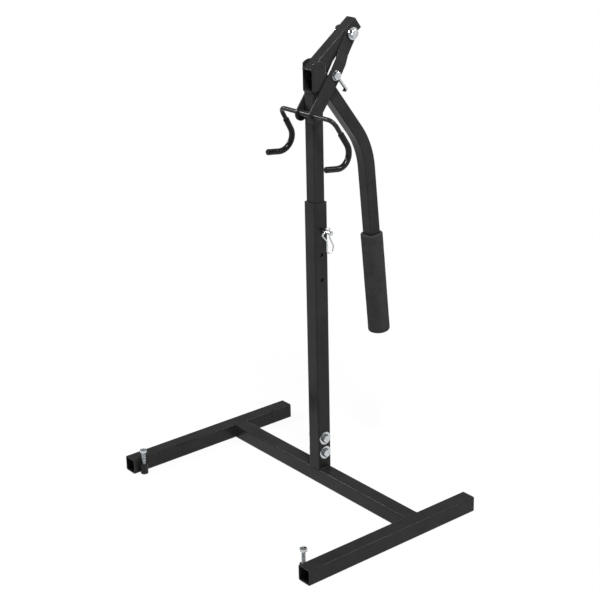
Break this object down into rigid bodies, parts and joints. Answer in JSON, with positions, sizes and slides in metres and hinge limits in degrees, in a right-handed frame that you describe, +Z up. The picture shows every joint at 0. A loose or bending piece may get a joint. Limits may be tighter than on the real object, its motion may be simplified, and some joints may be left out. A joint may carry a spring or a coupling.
{
  "type": "snowmobile lift",
  "caption": "Free-standing lever lift: a long handle tips an over-centre arm on a telescoping square post and raises a pair of sleeved hooks; H-shaped base.",
  "frame": {"origin": "On the floor, below the axis of the post.", "axes": "+X along the cross beam to the clip's side, +Y towards the handle, +Z up. The hooks face -Y."},
  "size_m": [0.763, 0.5817, 1.1805],
  "materials": {
    "black_powder_coat": "semi-gloss powder coat",
    "bright_zinc": "bright zinc plate",
    "foam": "matte foam",
    "vinyl": "dipped vinyl"
  },
  "bodies": {
    "base": {"left_leg": "black_powder_coat", "right_leg": "black_powder_coat", "cross_beam": "black_powder_coat", "left_leveller_sleeve": "black_powder_coat", "right_leveller_sleeve": "black_powder_coat", "post_stub": "black_powder_coat", "outer_mast": "black_powder_coat", "base_bolts": "bright_zinc", "base_washers": "bright_zinc", "base_nuts": "bright_zinc", "inner_mast": "black_powder_coat", "height_pin": "bright_zinc", "head_bracket": "black_powder_coat", "pivot_pin": "black_powder_coat"},
    "lever": {"lever_arm": "black_powder_coat", "pivot_bush": "black_powder_coat", "handle_tube": "black_powder_coat", "foam_grip": "foam", "strap_bolt": "bright_zinc", "spacer_rings": "black_powder_coat", "strap_washers": "bright_zinc", "strap_nut": "bright_zinc"},
    "hook_frame": {"left_strap": "black_powder_coat", "right_strap": "black_powder_coat", "latch_bolts": "bright_zinc", "hook_bar": "black_powder_coat", "spacer_tube": "black_powder_coat", "left_hook_sleeve": "vinyl", "right_hook_sleeve": "vinyl"},
    "latch": {"safety_latch": "bright_zinc"},
    "clip": {"r_clip": "bright_zinc"},
    "left_leveller": {"left_levelling_bolt": "bright_zinc"},
    "right_leveller": {"right_levelling_bolt": "bright_zinc"}
  },
  "joints": [
    {"name": "lever_swing", "type": "hinge", "parent": "base", "child": "lever", "pos_m": [0, 0.005, 1.0765], "axis": [1, 0, 0], "range_deg": [0, 188]},
    {"name": "strap_swing", "type": "hinge", "parent": "lever", "child": "hook_frame", "pos_m": [0, 0.102, 1.146], "axis": [1, 0, 0], "range_deg": [-141, 0]},
    {"name": "latch_swing", "type": "hinge", "parent": "hook_frame", "child": "latch", "pos_m": [0, 0.046, 1.0555], "axis": [1, 0, 0], "range_deg": [-8, 38]},
    {"name": "clip_pull", "type": "slide", "parent": "base", "child": "clip", "axis": [0, 0, -1], "range_m": [0, 0.05]},
    {"name": "left_level", "type": "slide", "parent": "base", "child": "left_leveller", "axis": [0, 0, 1], "range_m": [-0.03, 0.015]},
    {"name": "right_level", "type": "slide", "parent": "base", "child": "right_leveller", "axis": [0, 0, 1], "range_m": [-0.03, 0.015]}
  ],
  "couplings": [
    {"joint": "strap_swing", "follows": "lever_swing", "ratio": -0.75}
  ]
}
